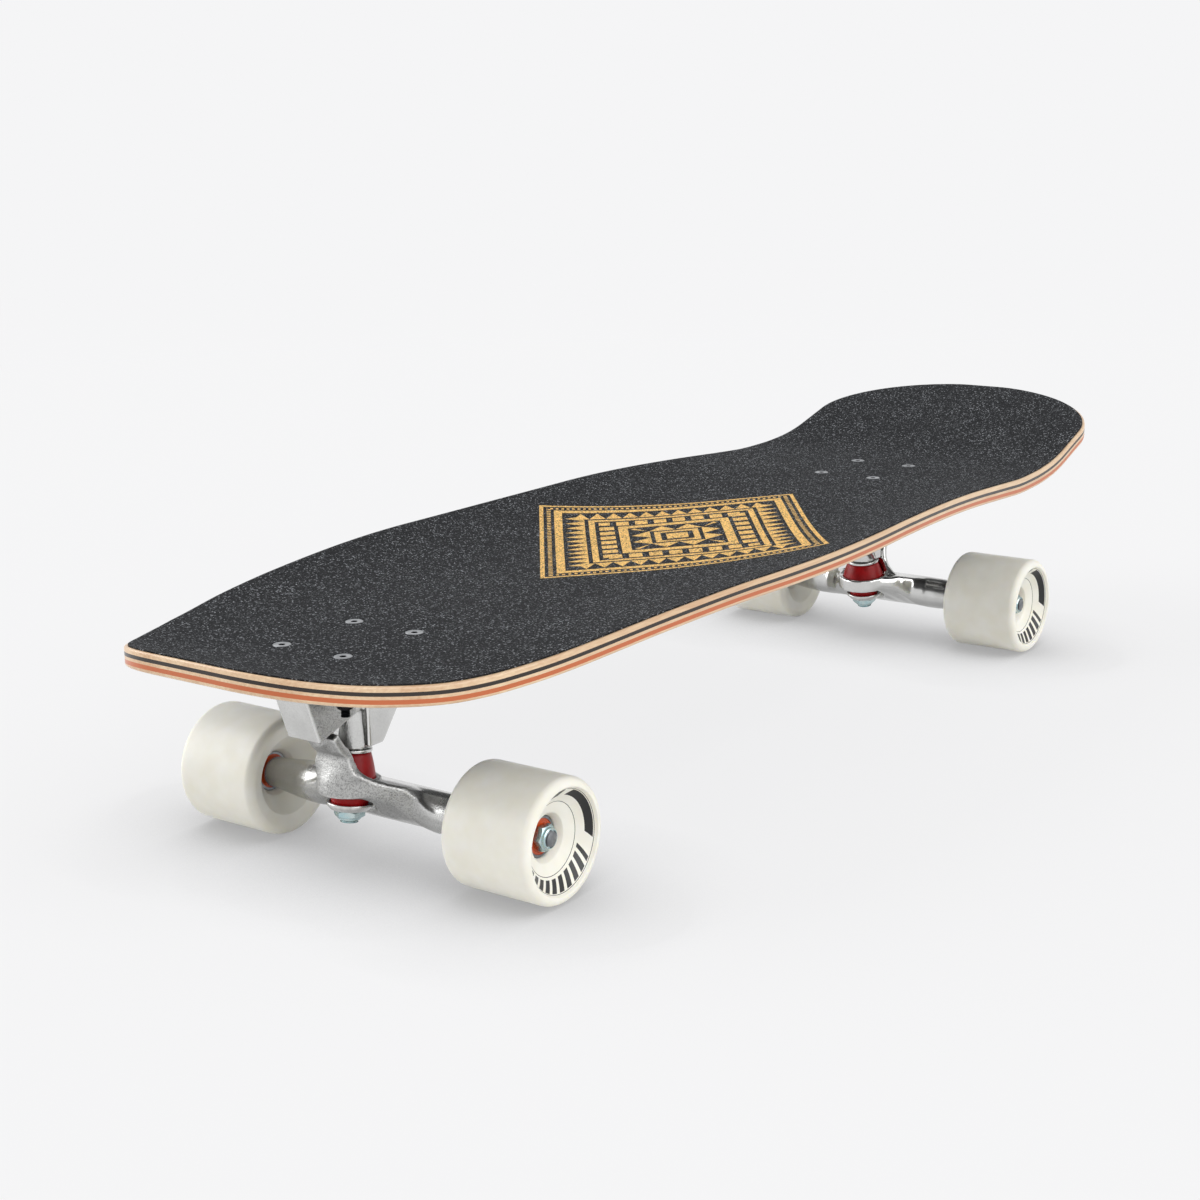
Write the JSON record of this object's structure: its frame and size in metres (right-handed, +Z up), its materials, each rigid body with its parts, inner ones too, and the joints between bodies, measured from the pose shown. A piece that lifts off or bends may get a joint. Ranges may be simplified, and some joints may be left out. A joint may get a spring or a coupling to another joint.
{
  "type": "surf skateboard",
  "caption": "Wide surf-style skateboard: dished maple deck with a kick tail and grip tape, on tall carving trucks with soft urethane wheels.",
  "frame": {"origin": "on the ground under the middle of the board: middle of the overall length and width, at the bottom of the wheels", "axes": "+X towards the nose, +Y towards the left edge of a rider facing the nose, +Z up"},
  "size_m": [0.855, 0.262, 0.1597],
  "materials": {
    "maple": "clear lacquered maple plies",
    "grip": "black abrasive grip tape with a gold print",
    "cast_aluminium": "raw cast, partly polished",
    "zinc_steel": "bright zinc plate",
    "axle_steel": "plain dark steel",
    "washer_steel": "bright stamped steel",
    "black_steel": "black oxide",
    "bushing": "dark red cast urethane",
    "nylon": "black moulded nylon",
    "urethane": "cream cast urethane",
    "bearing": "steel races with an orange shield"
  },
  "bodies": {
    "board": {"deck": "maple", "grip_tape": "grip", "front_baseplate": "cast_aluminium", "front_pivot_cup": "nylon", "front_kingpin": "zinc_steel", "front_kingpin_nut": "zinc_steel", "front_upper_bushing": "bushing", "front_lower_bushing": "bushing", "front_upper_washer": "washer_steel", "front_lower_washer": "washer_steel", "front_screw_1": "black_steel", "front_lock_nut_1": "black_steel", "front_screw_2": "black_steel", "front_lock_nut_2": "black_steel", "front_screw_3": "black_steel", "front_lock_nut_3": "black_steel", "front_screw_4": "black_steel", "front_lock_nut_4": "black_steel", "rear_baseplate": "cast_aluminium", "rear_pivot_cup": "nylon", "rear_kingpin": "zinc_steel", "rear_kingpin_nut": "zinc_steel", "rear_upper_bushing": "bushing", "rear_lower_bushing": "bushing", "rear_upper_washer": "washer_steel", "rear_lower_washer": "washer_steel", "rear_screw_1": "black_steel", "rear_lock_nut_1": "black_steel", "rear_screw_2": "black_steel", "rear_lock_nut_2": "black_steel", "rear_screw_3": "black_steel", "rear_lock_nut_3": "black_steel", "rear_screw_4": "black_steel", "rear_lock_nut_4": "black_steel"},
    "front_truck": {"front_hanger": "cast_aluminium", "front_axle": "axle_steel", "front_left_bearing_spacer": "axle_steel", "front_left_axle_nut": "zinc_steel", "front_right_bearing_spacer": "axle_steel", "front_right_axle_nut": "zinc_steel"},
    "rear_truck": {"rear_hanger": "cast_aluminium", "rear_axle": "axle_steel", "rear_left_bearing_spacer": "axle_steel", "rear_left_axle_nut": "zinc_steel", "rear_right_bearing_spacer": "axle_steel", "rear_right_axle_nut": "zinc_steel"},
    "front_left_wheel": {"front_left_wheel": "urethane", "front_left_inner_bearing": "bearing", "front_left_outer_bearing": "bearing"},
    "front_right_wheel": {"front_right_wheel": "urethane", "front_right_inner_bearing": "bearing", "front_right_outer_bearing": "bearing"},
    "rear_left_wheel": {"rear_left_wheel": "urethane", "rear_left_inner_bearing": "bearing", "rear_left_outer_bearing": "bearing"},
    "rear_right_wheel": {"rear_right_wheel": "urethane", "rear_right_inner_bearing": "bearing", "rear_right_outer_bearing": "bearing"}
  },
  "joints": [
    {"name": "front_steering", "type": "hinge", "parent": "board", "child": "front_truck", "pos_m": [0.3445, 0, 0.085], "axis": [0.5388, 0, 0.8424], "range_deg": [-12, 12], "stiffness_Nm_per_rad": 60, "deforming": ["front_upper_bushing", "front_lower_bushing"]},
    {"name": "rear_steering", "type": "hinge", "parent": "board", "child": "rear_truck", "pos_m": [-0.2552, 0, 0.0803], "axis": [-0.5388, 0, 0.8424], "range_deg": [-12, 12], "stiffness_Nm_per_rad": 60, "deforming": ["rear_upper_bushing", "rear_lower_bushing"]},
    {"name": "front_left_spin", "type": "hinge", "parent": "front_truck", "child": "front_left_wheel", "pos_m": [0.2969, 0.09235, 0.033], "axis": [0, 1, 0], "continuous": true},
    {"name": "front_right_spin", "type": "hinge", "parent": "front_truck", "child": "front_right_wheel", "pos_m": [0.2969, -0.09235, 0.033], "axis": [0, 1, 0], "continuous": true},
    {"name": "rear_left_spin", "type": "hinge", "parent": "rear_truck", "child": "rear_left_wheel", "pos_m": [-0.2598, 0.09235, 0.033], "axis": [0, 1, 0], "continuous": true},
    {"name": "rear_right_spin", "type": "hinge", "parent": "rear_truck", "child": "rear_right_wheel", "pos_m": [-0.2598, -0.09235, 0.033], "axis": [0, 1, 0], "continuous": true}
  ]
}
